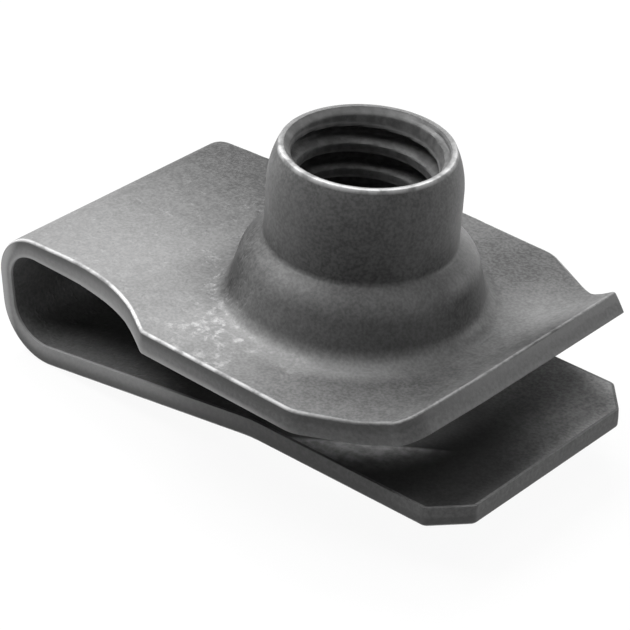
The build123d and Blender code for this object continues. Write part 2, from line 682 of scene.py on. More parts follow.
@dataclass
class FoldedStrip:
    """The strip that both leaves and the fold are bent from."""

    barrel: Barrel = field(default_factory=Barrel)
    edge: Edge = field(default_factory=Edge)
    sheet: float = 1.05
    wing_half_width: float = 10.2
    strip_half_width: float = 7.56
    wing_root: float = -9.1
    wing_angle: float = 33.0
    wing_root_fillet: float = 12.0
    wing_tip_fillet: float = 0.6
    nose_start: float = 4.6
    nose_angle: float = 27.5
    nose_fillet: float = 2.0
    lip_half_width: float = 8.1
    lip_fillet: float = 0.9
    lip_start: float = 7.0
    lip_radius: float = 4.35
    lip_angle: float = 40.0
    lip_setback: float = 5.5
    lip_corner: float = 3.3
    lip_near_round: float = 1.4
    lip_far_round: float = 0.2
    lip_round_steps: int = 8
    droop_start: float = -7.3
    droop_angle: float = 3.3
    droop_radius: float = 8.0
    fold_back: float = -17.39
    upper_bend_radius: float = 1.4
    lower_bend_radius: float = 1.95
    fold_lean: float = 8.0
    fold_side: float = 1.53
    fold_thinning: float = 0.28
    rise_angle: float = 9.3
    settle_at: float = -0.6
    settle_radius: float = 8.0
    settle_angle: float = 1.3
    lower_end: float = 12.37
    lower_corner_length: float = 1.6
    lower_corner_width: float = 1.8
    lower_fillet: float = 0.5
    clearance_radius: float = 5.2
    bend_step: float = 6.0
    corner_step: float = 4.0
    crease_merge: float = 0.01
    crease_margin: float = 0.05
    hole_segments: int = 120
    burr_fade: float = 4.5
    burr_at_lip: float = 0.5
    # How far the rolled corner is bare and lit as a painted highlight along the edge: less on the lip and
    # round the fold.
    worn_and_highlit_from: float = 3.0
    worn_and_highlit_over: float = 5.0
    lip_wear_and_highlight: float = 0.15
    fold_wear_and_highlight: float = 0.72
    fold_wear_and_highlight_from: float = 18.0
    fold_wear_and_highlight_over: float = 12.0

    def __post_init__(self) -> None:
        """Works out the middle line from the leaves' and the fold's sizes."""
        half = self.sheet / 2
        middle = self.barrel.leaf_top - half
        droop_bend = self.droop_radius * radians(self.droop_angle)
        upper = self.upper_bend_radius + half
        lower = self.lower_bend_radius + half
        droop = radians(self.droop_angle)
        rise = radians(self.rise_angle)
        droop_run = self.droop_start - self.fold_back - half - upper + upper * sin(droop)
        flat = self.lip_start - self.droop_start - droop_bend / 2
        stretches = [
            Stretch.bend(self.lip_radius + half, -self.lip_angle),
            Stretch(flat),
            Stretch.bend(self.droop_radius, self.droop_angle),
            Stretch(droop_run / cos(droop) - droop_bend / 2),
            Stretch.bend(upper, 90 - self.droop_angle + self.fold_lean),
            Stretch(self.fold_side),
            Stretch.bend(lower, 90 - self.fold_lean + self.rise_angle),
        ]
        anchor = (self.lip_start - flat, middle)
        line = MiddleLine(180.0 + self.lip_angle, list(stretches), Part.FLAT, anchor)
        climb_from = line.at(line.length)[0]
        climb = Stretch((self.settle_at - climb_from) / cos(rise))
        settle = Stretch.bend(self.settle_radius, self.settle_angle - self.rise_angle)
        line = MiddleLine(180.0 + self.lip_angle, stretches + [climb, settle], Part.FLAT, anchor)
        rest = Stretch((self.lower_end - line.at(line.length)[0]) / cos(radians(self.settle_angle)))
        self.line = MiddleLine(
            180.0 + self.lip_angle, stretches + [climb, settle, rest], Part.FLAT, anchor
        )

    def place(self, run: float, across: float, height: float) -> Vector:
        """Gives a point of the folded sheet, whose inner face is drawn in a little round the fold's back.

        Args:
            run: The length along the middle line.
            across: The distance from the side view's plane, along Y.
            height: The height over the middle of the sheet towards the outer face.

        Returns:
            The point in metres, in the row's frame.
        """
        start, back, turn, end = (
            self.line.end_of(part) for part in (Part.DROOP, Part.UPPER_BEND, Part.BACK, Part.LOWER_BEND)
        )
        share = min((run - start) / (back - start), (end - run) / (end - turn))
        thinning = self.fold_thinning * eased(share)
        return self.line.place(run, across, height + thinning * self.depth(height))

    def depth(self, height: float) -> float:
        """Gives how deep a height lies in the sheet, from 0 at the outer face to 1 at the inner face."""
        return 0.5 - height / self.sheet

    def side(self, lip_round: float) -> list[Point]:
        """Gives one side of the flat blank as (run, across), from the lip's end to the lower end.

        Args:
            lip_round: The radius of the lip's corner on this side.

        Returns:
            The side's points, with one more wherever a crease meets it.
        """
        wing_width = self.wing_half_width - self.strip_half_width
        wing_tip = self.wing_root + wing_width / tan(radians(self.wing_angle))
        nose_width = self.wing_half_width - self.lip_half_width
        nose_end = self.nose_start + nose_width / tan(radians(self.nose_angle))
        upper = rounded([
            Corner(self.line.at(lip_round)[0], self.lip_half_width),
            Corner(nose_end, self.lip_half_width, self.lip_fillet),
            Corner(self.nose_start, self.wing_half_width, self.nose_fillet),
            Corner(wing_tip, self.wing_half_width, self.wing_tip_fillet),
            Corner(self.wing_root, self.strip_half_width, self.wing_root_fillet),
            Corner(self.fold_back / 2 + self.wing_root / 2, self.strip_half_width),
        ], step=self.corner_step)
        corner_start = self.lower_end - self.lower_corner_length
        lower = rounded([
            Corner(0, self.strip_half_width),
            Corner(corner_start, self.strip_half_width, self.lower_fillet),
            Corner(self.lower_end, self.strip_half_width - self.lower_corner_width, self.lower_fillet),
            Corner(self.lower_end, 0),
        ])
        inner = self.lip_half_width - lip_round
        turns = [pi / 2 * i / self.lip_round_steps for i in range(self.lip_round_steps)]
        points = [(lip_round * (1 - cos(t)), inner + lip_round * sin(t)) for t in turns]
        points += [(self.line.run_at(x, Leaf.UPPER), y) for x, y in upper]
        points += [(self.line.run_at(x, Leaf.LOWER), y) for x, y in lower[1:-1]]
        runs = [run for run, _ in points]
        for station in self.creases():
            at = bisect_left(runs, station)
            if min(abs(runs[at] - station), abs(runs[at - 1] - station)) < self.crease_merge:
                continue
            share = (station - runs[at - 1]) / (runs[at] - runs[at - 1])
            across = points[at - 1][1] + share * (points[at][1] - points[at - 1][1])
            runs.insert(at, station)
            points.insert(at, (station, across))
        return points

    def creases(self) -> list[float]:
        """Lists the runs at which the sheet is creased from side to side."""
        first = self.setback(-self.lip_half_width) + self.crease_margin
        return [station for station in self.line.stations(self.bend_step) if station > first]

    def setback(self, across: float) -> float:
        """Gives how far the lip's end is cut back at a place across it."""
        return max(0.0, -across - self.lip_corner) * tan(radians(self.lip_setback))

    def cut_back(self, run: float, across: float) -> float:
        """Moves a run in the lip's near corner back with the lip's end.

        Args:
            run: The run before.
            across: The place across the strip.

        Returns:
            The run after.
        """
        if run > self.lip_near_round:
            return run
        left = 1 - self.setback(-self.lip_half_width) / self.lip_near_round
        return self.setback(across) + run * left

    def outline(self) -> tuple[list[Point], dict[float, tuple[int, int]]]:
        """Lays the blank's outline out flat.

        Returns:
            The outline's points as (run, across), and for each crease the two points that it joins.
        """
        far = self.side(self.lip_far_round)
        near = self.side(self.lip_near_round)
        back = [(self.cut_back(run, -across), -across) for run, across in reversed(near)]
        points = far + back + [(0.0, -self.lip_corner)]
        joined = {}
        for station in self.creases():
            first = min(range(len(far)), key=lambda i: abs(far[i][0] - station))
            last = min(range(len(near)), key=lambda i: abs(near[i][0] - station))
            joined[station] = (first, len(far) + len(near) - 1 - last)
        return points, joined

    def hole(self, radius: float, leaf: Leaf, segments: int) -> Hole:
        """Lays a round hole about the screw's axis out flat.

        Args:
            radius: The hole's radius.
            leaf: The leaf that it is in.
            segments: The number of its points, before those where a crease meets it.

        Returns:
            The hole.
        """
        angles = [tau * i / segments for i in range(segments)]
        ends = sorted((self.line.run_at(-radius, leaf), self.line.run_at(radius, leaf)))
        met = [s for s in self.line.stations(self.bend_step) if ends[0] < s < ends[1]]
        crease_angles = {}
        spare = pi / segments / 2
        for station in met:
            angle = acos(self.line.at(station)[0] / radius)
            angles = [a for a in angles if min(abs(a - angle), abs(a - (tau - angle))) > spare]
            angles = sorted(angles + [angle, tau - angle])
            crease_angles[station] = angle
        points = [(self.line.run_at(radius * cos(a), leaf), radius * sin(a)) for a in angles]
        meets = {s: (angles.index(a), angles.index(tau - a)) for s, a in crease_angles.items()}
        return Hole(points, angles, meets)

    def build(self, mesh: SheetMesh) -> None:
        """Adds both leaves, the fold and their cut edges, and then the barrel between the leaf's rings.

        Args:
            mesh: The mesh to add to.
        """
        outline, creases = self.outline()
        hole = self.hole(self.clearance_radius, Leaf.LOWER, self.hole_segments)
        ring = self.hole(self.barrel.blend_radius, Leaf.UPPER, self.barrel.segments)
        outline_loops = self.cut_edge(mesh, outline, Side.INSIDE)
        hole_loops = self.cut_edge(mesh, hole.points, Side.OUTSIDE)
        half = self.sheet / 2
        barrel_loops = [
            Loop(ring.points, [
                mesh.point(self.place(run, across, height), self.depth(height))
                for run, across in ring.points
            ])
            for height in (half, -half)
        ]
        for face, height in ((0, half), (-1, -half)):
            loops = [outline_loops[face], hole_loops[face], barrel_loops[face]]
            self.fill(mesh, loops, self.crease_lines(creases, (hole, ring)), height)
        self.barrel.build(mesh, ring.angles, barrel_loops[0].verts, barrel_loops[-1].verts)

    def cut_edge(self, mesh: SheetMesh, outline: list[Point], side: Side) -> list[Loop]:
        """Adds the punched edge along a closed line of the blank.

        Args:
            mesh: The mesh to add to.
            outline: The closed line as (run, across).
            side: The side of the line that the sheet is on.

        Returns:
            The edge's rings from the outer face to the inner face.
        """
        inward = inward_normals(outline, side)
        steps = self.edge.roll_steps
        loops = []
        for index, ring in enumerate(self.edge.rings()):
            flat = [
                (run + n.x * ring.inset, across + n.y * ring.inset)
                for (run, across), n in zip(outline, inward)
            ]
            # The rolled corner's rings carry rubbing and a painted highlight, most on its middle ring.
            wear_and_highlight = sin(pi * index / steps) if index <= steps else 0.0
            verts = [
                mesh.point(
                    self.place(run, across, ring.height - ring.drag * self.burr(run)),
                    self.depth(ring.height),
                    wear_and_highlight * self.exposure(run),
                )
                for run, across in flat
            ]
            loops.append(Loop(flat, verts))
        mesh.band([loop.verts for loop in loops], lambda index: Zone.FACE if index < steps else Zone.CUT)
        return loops

    def burr(self, run: float) -> float:
        """Finds the burr's height, full along the wings and none from the fold on.

        Args:
            run: The length along the middle line.

        Returns:
            The height.
        """
        wing_front = self.line.run_at(self.nose_start, Leaf.UPPER)
        before_fold = min(1.0, max(0.0, (self.line.end_of(Part.DROOP) - run) / self.burr_fade))
        on_lip = min(1.0, self.burr_at_lip + (1 - self.burr_at_lip) * run / wing_front)
        return self.edge.burr_height * before_fold * on_lip

    def exposure(self, run: float) -> float:
        """Finds how much the rolled corner is bare from rubbing and lit as a painted highlight, less on the
        lip and round the fold.

        Args:
            run: The length along the middle line.

        Returns:
            The share of the full amount.
        """
        off_lip = max(self.lip_wear_and_highlight, (run - self.worn_and_highlit_from) / self.worn_and_highlit_over)
        before_fold = max(self.fold_wear_and_highlight, 1.0 - (run - self.fold_wear_and_highlight_from) / self.fold_wear_and_highlight_over)
        return min(1.0, off_lip, before_fold)

    @staticmethod
    def crease_lines(creases: dict[float, tuple[int, int]], holes: Sequence[Hole]) -> list[Crease]:
        """Pairs the points that creases join, and stops a crease at a hole.

        Args:
            creases: For each crease's run the two points of the outline that it joins.
            holes: The holes, which are the loops after the outline.

        Returns:
            Pairs of points, each as (loop, point).
        """
        lines = []
        for station, (far, near) in creases.items():
            start = (0, far)
            for loop, hole in enumerate(holes, 1):
                if station in hole.meets:
                    hole_far, hole_near = hole.meets[station]
                    lines.append((start, (loop, hole_far)))
                    start = (loop, hole_near)
            lines.append((start, (0, near)))
        return lines

    def fill(
        self,
        mesh: SheetMesh,
        loops: list[Loop],
        creases: list[Crease],
        height: float,
    ) -> None:
        """Fills one face of the sheet between its outline and its holes, creased at the bends.

        Args:
            mesh: The mesh to add to.
            loops: The outline and then the holes.
            creases: Pairs of points, each as (loop, point).
            height: The face's height over the middle of the sheet.
        """
        firsts = [sum(len(loop.flat) for loop in loops[:i]) for i in range(len(loops))]
        flat = [Vector(spot) for loop in loops for spot in loop.flat]
        verts = [vert for loop in loops for vert in loop.verts]
        lines = [
            (first + i, first + (i + 1) % len(loop.flat))
            for first, loop in zip(firsts, loops)
            for i in range(len(loop.flat))
        ]
        lines += [(firsts[a] + i, firsts[b] + j) for (a, i), (b, j) in creases]
        spots, _, faces, sources, _, _ = delaunay_2d_cdt(flat, lines, [], ENCLOSED, SAME_SPOT)
        corners = [
            verts[source[0]] if source
            else mesh.point(self.place(spot.x, spot.y, height), self.depth(height))
            for spot, source in zip(spots, sources)
        ]
        for face in faces:
            if on_sheet(just_inside([spots[i] for i in face]), loops):
                mesh.face([corners[i] for i in face], Zone.FACE)


@dataclass(frozen=True)
class Ramp:
    """A smooth change from one level to another, between two places or values."""

    start: float
    end: float
    low: float = 0.0
    high: float = 1.0

    def in_metres(self) -> "Ramp":
        """Gives the ramp for places on the object, which are in metres."""
        return Ramp(self.start * MM, self.end * MM, self.low, self.high)


@dataclass(frozen=True)
class Noise:
    """A cloudy noise fixed to the object. Its size is in millimetres, and its cut spreads it out."""

    size: float
    detail: float = 3.0
    roughness: float = 0.55
    cut: Ramp = Ramp(0.3, 0.7)


@dataclass(frozen=True)
class Relief:
    """A fine unevenness of the surface: its height in millimetres and how strongly it shows."""

    strength: float
    height: float = 0.02


@dataclass(frozen=True)
class Spot:
    """A soft spot on the surface, strongest in its middle and gone at its reach."""

    middle: Place
    reach: float
    strength: float = 1.0


class Bench:
    """The node tree of one material or world, with short ways to add to it."""

    def __init__(self, tree: bpy.types.NodeTree) -> None:
        """Empties the tree."""
        self.tree = tree
        tree.nodes.clear()

    def put(self, value: object, into: Socket) -> None:
        """Links a socket into an input, or sets the input to a plain value.

        Args:
            value: A socket, a number, a vector or a colour.
            into: The input.
        """
        if isinstance(value, Socket):
            self.tree.links.new(value, into)
        else:
            into.default_value = value

    def add(
        self, kind: str, values: dict[str | int, object] | None = None, **settings: object
    ) -> bpy.types.Node:
        """Adds a node.

        Args:
            kind: The node's type without its leading ShaderNode.
            values: For each input's name or number a value, or a socket to link.
            settings: The node's own properties.

        Returns:
            The node.
        """
        node = self.tree.nodes.new("ShaderNode" + kind)
        for name, value in settings.items():
            setattr(node, name, value)
        for name, value in (values or {}).items():
            self.put(value, node.inputs[name])
        return node

    def math(self, operation: str, *terms: Level) -> Socket:
        """Adds one operation on numbers and sockets."""
        return self.add("Math", dict(enumerate(terms)), operation=operation).outputs[0]

    def total(self, *terms: Level) -> Socket:
        """Adds numbers and sockets up."""
        return reduce(partial(self.math, "ADD"), terms)

    def product(self, *terms: Level) -> Socket:
        """Multiplies numbers and sockets."""
        return reduce(partial(self.math, "MULTIPLY"), terms)

    def ramp(self, value: Socket, ramp: Ramp) -> Socket:
        """Turns a value into a level by a ramp, held at its ends.

        Args:
            value: The value.
            ramp: The ramp, in the value's unit.

        Returns:
            The level.
        """
        values = {
            "Value": value,
            "From Min": ramp.start,
            "From Max": ramp.end,
            "To Min": ramp.low,
            "To Max": ramp.high,
        }
        return self.add("MapRange", values, interpolation_type="SMOOTHSTEP").outputs["Result"]

    def grain(self, size: float, detail: float = 3.0, roughness: float = 0.55) -> Socket:
        """Adds a plain noise of about this size in millimetres. It lies mostly between 0.3 and 0.7."""
        values = {"Vector": self.place(), "Scale": 1 / (size * MM), "Detail": detail, "Roughness": roughness}
        return self.add("TexNoise", values).outputs["Fac"]

    def noise(self, noise: Noise) -> Socket:
        """Adds a noise and spreads it out by its cut."""
        return self.ramp(self.grain(noise.size, noise.detail, noise.roughness), noise.cut)

    def blend(self, share: Level, one: Colour | Socket, other: Colour | Socket) -> Socket:
        """Mixes two colours by the second one's share, which stops at 0 and at 1."""
        node = self.add("Mix", {0: share, 6: one, 7: other}, data_type="RGBA")
        return node.outputs[2]

    def place(self) -> Socket:
        """Gives the place on the object, in metres."""
        return self.add("TexCoord").outputs["Object"]

    def split(self) -> tuple[Socket, Socket, Socket]:
        """Gives the place's X, Y and Z."""
        return tuple(self.add("SeparateXYZ", {"Vector": self.place()}).outputs)

    def ahead(self, heading: Place) -> Socket:
        """Gives how far a place lies along a heading."""
        values = {0: self.place(), 1: heading}
        return self.add("VectorMath", values, operation="DOT_PRODUCT").outputs["Value"]

    def distance(self, middle: Place) -> Socket:
        """Gives a place's distance from a middle, which is in millimetres."""
        values = {0: self.place(), 1: Vector(middle) * MM}
        return self.add("VectorMath", values, operation="DISTANCE").outputs["Value"]

    def near(self, spot: Spot) -> Socket:
        """Gives how near a place is to a spot's middle, from 1 there to 0 at its reach."""
        return self.ramp(self.distance(spot.middle), Ramp(0.0, spot.reach, 1.0, 0.0).in_metres())

    def from_axis(self) -> Socket:
        """Gives a place's distance from the screw's axis."""
        x, y, _ = self.split()
        return self.math("SQRT", self.total(self.math("POWER", x, 2.0), self.math("POWER", y, 2.0)))

    def mark(self, name: str) -> Socket:
        """Gives a value that the mesh's points carry."""
        return self.add("Attribute", attribute_name=name).outputs["Fac"]

    def bump(self, height: Socket, relief: Relief, sunk: bool = False, over: Socket | None = None) -> Socket:
        """Tilts the surface by a fine unevenness.

        Args:
            height: The unevenness, from 0 to 1.
            relief: How high it is and how strongly it shows.
            sunk: Whether it lies in the surface and not on it.
            over: Another unevenness that it is added to.

        Returns:
            The surface's direction.
        """
        values = {"Height": height, "Strength": relief.strength, "Distance": relief.height * MM}
        if over is not None:
            values["Normal"] = over
        return self.add("Bump", values, invert=sunk).outputs["Normal"]

    def to_the_eye(self) -> Socket:
        """Gives 1 for what the camera sees, by itself or mirrored in gloss, and 0 for light."""
        seen = self.add("LightPath").outputs
        return self.math("MAXIMUM", seen["Is Camera Ray"], seen["Is Glossy Ray"])


def grey(level: float) -> Colour:
    """Gives the grey of a level."""
    return (level, level, level, 1.0)


@dataclass(frozen=True)
class Finish:
    """A finish of the steel."""

    name: str

    def make(self) -> bpy.types.Material:
        """Makes the finish as a material.

        Returns:
            The material.
        """
        material = bpy.data.materials.new(self.name)
        material.use_nodes = True
        bench = Bench(material.node_tree)
        shader = bench.add("BsdfPrincipled", self.surface(bench))
        bench.add("OutputMaterial", {"Surface": shader.outputs[0]})
        return material

    def surface(self, bench: Bench) -> dict[str, object]:
        """Gives the shader's inputs, each as a value or a socket."""
        raise NotImplementedError(self.name)


@dataclass(frozen=True)
class PhosphateFinish(Finish):
    """Dark grey phosphate under a film of oil, finely grained, pitted and scuffed from handling, with
    painted sheen, light and shade laid into its colour.

    The coat's tone is multiplied by a level, which starts near 1. Names that end in level say how much of it
    a share of the surface adds. headroom is the highest level that is still told apart.
    """

    name: str = "phosphate_and_oil"
    tone: float = 0.056
    headroom: float = 4.0
    least_level: float = 0.12
    cloud: Noise = Noise(4.5, 3.0, 0.5)
    cloud_level: float = 0.2
    grain: Noise = Noise(0.16, 2.0, 0.5)
    grain_level: float = 0.5
    mottle: Noise = Noise(0.6, 3.0, 0.6, Ramp(0.3, 0.7, -0.13, 0.13))

    # The tone of bare steel in flecks, also of the painted highlight along the rolled corners and of the
    # painted lit crescent.
    bare: float = 0.46
    wear_and_highlight: Noise = Noise(0.9, cut=Ramp(0.32, 0.58, 0.25, 1.0))
    fleck: Noise = Noise(0.5, 6.0, 0.72, Ramp(0.46, 0.66))
    patch: Noise = Noise(2.0, 3.0, 0.6, Ramp(0.38, 0.62))
    fleck_share: float = 0.38

    specular: float = 0.22
    ior: float = 1.5
    gloss: Ramp = Ramp(0.0, 2.0, 0.56, 0.46)
    oil_gloss: float = 0.1
    grain_relief: Relief = Relief(0.1)
    pit: Noise = Noise(0.5, 2.0, 0.5, Ramp(0.56, 0.72))
    pit_relief: Relief = Relief(0.6, 0.03)
    pitted: Ramp = Ramp(0.05, 0.5)

    # A painted sheen on the leaf's front left, where handling has also left pits and scuffs.
    handled_and_sheen: Spot = Spot((-11.0, -6.5, -2.7), 15.0)
    handled_sheen_level: float = 0.85
    handled_scuffs: float = 0.14
    scuffed: Spot = Spot((-1.6, -7.6, -2.7), 6.2)
    scuffed_level: float = 0.5
    flat_leaf: Ramp = Ramp(-2.66, -2.5, 1.0, 0.0)

    # Painted light on part of a ring round the shoulder's foot, on the leaf in front of it.
    foot_light_radius: float = 7.3
    foot_light_width: float = 1.1
    foot_light: Spot = Spot((4.0, -6.6, -2.7), 7.0)
    foot_light_level: float = 1.3
    leaf_top: Ramp = Ramp(-3.2, -3.0)
    # Painted light: the shoulder is coloured lighter than the barrel over it.
    shoulder_light_within: Ramp = Ramp(6.6, 7.2, 1.0, 0.0)
    shoulder_light_below: Ramp = Ramp(0.4, 0.9, 1.0, 0.0)
    shoulder_light_level: float = 0.4

    # Spots of painted shade, which are also glossier with oil.
    shade_and_oil_spots: tuple[Spot, ...] = (
        Spot((-9.0, 6.5, -2.7), 13.0, 1.0),
        Spot((4.5, 8.5, -2.7), 6.0, 0.6),
        Spot((10.6, 2.5, -1.7), 5.0, 0.9),
        Spot((8.6, -4.6, -2.4), 4.0, 0.2),
        Spot((-2.6, -5.2, 0.2), 2.6, 0.7),
        Spot((-5.3, -2.8, -0.6), 4.5, 1.7),
        Spot((-4.1, -4.9, -1.9), 2.6, 0.9),
        Spot((2.6, -4.2, 1.0), 4.0, 0.4),
        Spot((5.9, 0.9, -0.2), 3.6, 1.1),
    )
    # Spots of painted light on the barrel and the leaf.
    lit_spots: tuple[Spot, ...] = (
        Spot((3.6, 3.1, 2.6), 5.0, 1.4),
        Spot((-1.8, -4.5, 3.2), 4.0, 0.5),
        Spot((7.2, 5.0, -2.7), 4.0, 0.7),
    )

    # Painted shade between the leaves, deepest towards the fold, and painted light towards the open end,
    # with a painted lit crescent on the lower leaf.
    inner_face: Ramp = Ramp(0.8, 1.0)
    deep_in: Ramp = Ramp(-9.0, 0.0, 0.85, 0.3)
    open_heading: Place = (0.6, 0.8, 0.0)
    open_end: Ramp = Ramp(4.5, 11.0, 0.0, 2.2)
    crescent_heading: Place = (0.576, -0.817, 0.0)
    crescent_line: Ramp = Ramp(7.24, 7.49)
    crescent_middle: Place = (2.33, -2.33, -6.6)
    crescent_round: Ramp = Ramp(4.85, 6.85, 1.0, 0.0)
    crescent_below: Ramp = Ramp(-5.7, -5.6, 1.0, 0.0)
    streak: Noise = Noise(0.5, 3.0, 0.6, Ramp(0.3, 0.7, 0.3, 0.62))

    def surface(self, bench: Bench) -> dict[str, object]:
        """Lays the coat with its grain, spots of painted light and shade, bare corners with a painted
        highlight, and pits.

        Args:
            bench: The material's nodes.

        Returns:
            The shader's inputs.
        """
        cloud = bench.noise(self.cloud)
        grain = bench.noise(self.grain)
        handled_and_sheen = bench.near(self.handled_and_sheen)
        scuffed = self.scuffed_share(bench, handled_and_sheen)
        shade_and_oil = self.spotted_share(bench, self.shade_and_oil_spots)
        level = bench.total(
            bench.product(cloud, self.cloud_level),
            1 - (self.cloud_level + self.grain_level) / 2,
            bench.product(grain, self.grain_level),
            bench.noise(self.mottle),
            bench.product(handled_and_sheen, self.handled_sheen_level),
            bench.product(shade_and_oil, -1.0),
            bench.product(self.foot_light_share(bench), self.foot_light_level),
            bench.product(scuffed, self.scuffed_level),
            bench.product(self.shoulder_light_share(bench), self.shoulder_light_level),
            self.spotted_share(bench, self.lit_spots),
        )
        # The level is multiplied by painted shade and light between the leaves.
        level = bench.product(bench.math("MAXIMUM", level, self.least_level), self.shade_between_leaves(bench))
        coat = bench.blend(
            bench.product(level, 1 / self.headroom), grey(0.0), grey(self.tone * self.headroom)
        )
        rough = bench.ramp(bench.total(cloud, handled_and_sheen), self.gloss)
        pitted = bench.product(bench.noise(self.pit), bench.ramp(handled_and_sheen, self.pitted))
        grained = bench.bump(grain, self.grain_relief)
        return {
            "Base Color": bench.blend(self.bare_and_lit_share(bench, scuffed), coat, grey(self.bare)),
            "Roughness": bench.math("SUBTRACT", rough, bench.product(shade_and_oil, self.oil_gloss)),
            "IOR": self.ior,
            "Specular IOR Level": self.specular,
            "Normal": bench.bump(pitted, self.pit_relief, sunk=True, over=grained),
        }

    def bare_and_lit_share(self, bench: Bench, scuffed: Socket) -> Socket:
        """Gives the share of the bare tone: rolled corners bare from rubbing and lit as a painted highlight,
        flecks in the scuffs, and the painted lit crescent.

        Args:
            bench: The material's nodes.
            scuffed: The scuffed share.

        Returns:
            The share.
        """
        worn_and_highlit = bench.product(bench.mark(WEAR_AND_HIGHLIGHT_MARK), bench.noise(self.wear_and_highlight))
        flecked = bench.product(bench.noise(self.fleck), bench.noise(self.patch), scuffed, self.fleck_share)
        return bench.math("MAXIMUM", bench.math("MAXIMUM", worn_and_highlit, flecked), self.lit_crescent_share(bench))

    def scuffed_share(self, bench: Bench, handled_and_sheen: Socket) -> Socket:
        """Gives the share that is scuffed: a place on the flat leaf, and a little of the handling spot,
        which also carries painted sheen.

        Args:
            bench: The material's nodes.
            handled_and_sheen: The share of handling and painted sheen.

        Returns:
            The share.
        """
        _, _, z = bench.split()
        leaf = bench.ramp(z, self.flat_leaf.in_metres())
        place = bench.product(bench.near(self.scuffed), leaf)
        return bench.total(place, bench.product(handled_and_sheen, self.handled_scuffs))

    def spotted_share(self, bench: Bench, spots: Sequence[Spot]) -> Socket:
        """Adds a few soft spots up."""
        return bench.total(*(bench.product(bench.near(spot), spot.strength) for spot in spots))

    def shade_between_leaves(self, bench: Bench) -> Socket:
        """Gives the level between the leaves: painted shade, darkest deep towards the fold, and painted
        light towards the open end.

        Args:
            bench: The material's nodes.

        Returns:
            The level, which is 1 on the outer face.
        """
        x, _, _ = bench.split()
        level = bench.total(
            bench.ramp(x, self.deep_in.in_metres()),
            bench.ramp(bench.ahead(self.open_heading), self.open_end.in_metres()),
        )
        change = bench.product(self.inner_share(bench), bench.total(level, -1.0))
        return bench.total(change, 1.0)

    def inner_share(self, bench: Bench) -> Socket:
        """Gives 1 on the sheet's inner face and 0 on its outer face."""
        return bench.ramp(bench.mark(DEPTH_MARK), self.inner_face)

    def foot_light_share(self, bench: Bench) -> Socket:
        """Gives the share of painted light on the leaf, a part of a ring round the shoulder's foot.

        Args:
            bench: The material's nodes.

        Returns:
            The share.
        """
        _, _, z = bench.split()
        away = bench.math("ABSOLUTE", bench.total(bench.from_axis(), -self.foot_light_radius * MM))
        ring = bench.ramp(away, Ramp(0.0, self.foot_light_width, 1.0, 0.0).in_metres())
        return bench.product(ring, bench.ramp(z, self.leaf_top.in_metres()), bench.near(self.foot_light))

    def shoulder_light_share(self, bench: Bench) -> Socket:
        """Gives the share of the drawn shoulder, painted a little lighter than the barrel over it as the
        light that its slope catches.

        Args:
            bench: The material's nodes.

        Returns:
            The share.
        """
        _, _, z = bench.split()
        close = bench.ramp(bench.from_axis(), self.shoulder_light_within.in_metres())
        return bench.product(close, bench.ramp(z, self.shoulder_light_below.in_metres()))

    def lit_crescent_share(self, bench: Bench) -> Socket:
        """Gives the share of a painted lit crescent on the lower leaf, between the leaves, with its straight
        edge where the upper leaf's shadow falls.

        Args:
            bench: The material's nodes.

        Returns:
            The share.
        """
        _, _, z = bench.split()
        return bench.product(
            bench.ramp(bench.ahead(self.crescent_heading), self.crescent_line.in_metres()),
            bench.ramp(bench.distance(self.crescent_middle), self.crescent_round.in_metres()),
            bench.ramp(z, self.crescent_below.in_metres()),
            self.inner_share(bench),
            bench.noise(self.streak),
        )


